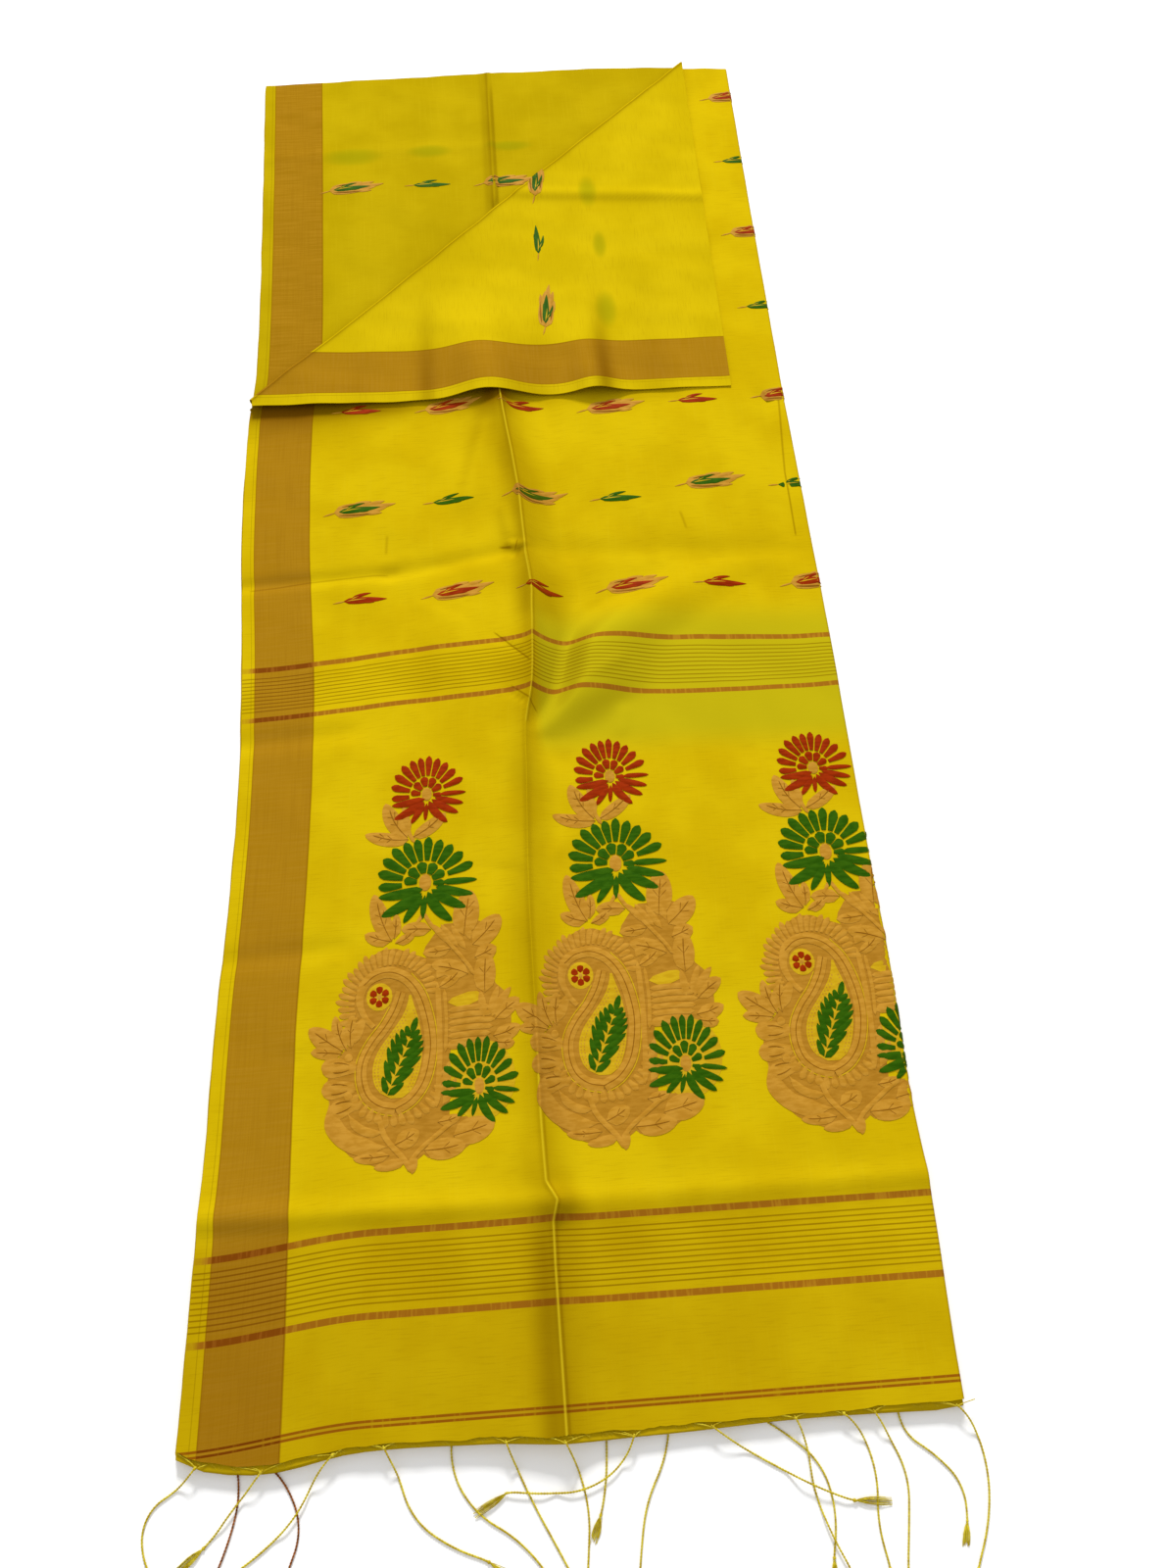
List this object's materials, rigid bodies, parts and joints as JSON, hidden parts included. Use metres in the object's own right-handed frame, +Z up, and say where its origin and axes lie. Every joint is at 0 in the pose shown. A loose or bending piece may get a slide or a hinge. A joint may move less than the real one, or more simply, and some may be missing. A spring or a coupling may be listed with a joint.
{
  "type": "saree",
  "caption": "Silk saree folded lengthwise and across and laid flat, with a turned-down top corner, a woven border and twisted cord fringe at the hem.",
  "frame": {"origin": "middle of the whole, on the surface that it lies on", "axes": "+Z up, +Y from the fringed hem towards the top fold, +X from the bordered side edge to the folded side"},
  "size_m": [0.6256, 1.6654, 0.0348],
  "materials": {
    "silk": "lustrous golden yellow brocade silk",
    "under": "the same silk, the length under the turned corner",
    "layers": "the same silk, folded lengths seen from their edges",
    "cord": "twisted silk warp threads"
  },
  "bodies": {
    "root": {"folded_layers": "layers", "under_stretch": "under", "front_stretch": "silk", "turned_corner": "silk", "fringe_front": "cord", "fringe_back": "cord"}
  },
  "joints": []
}
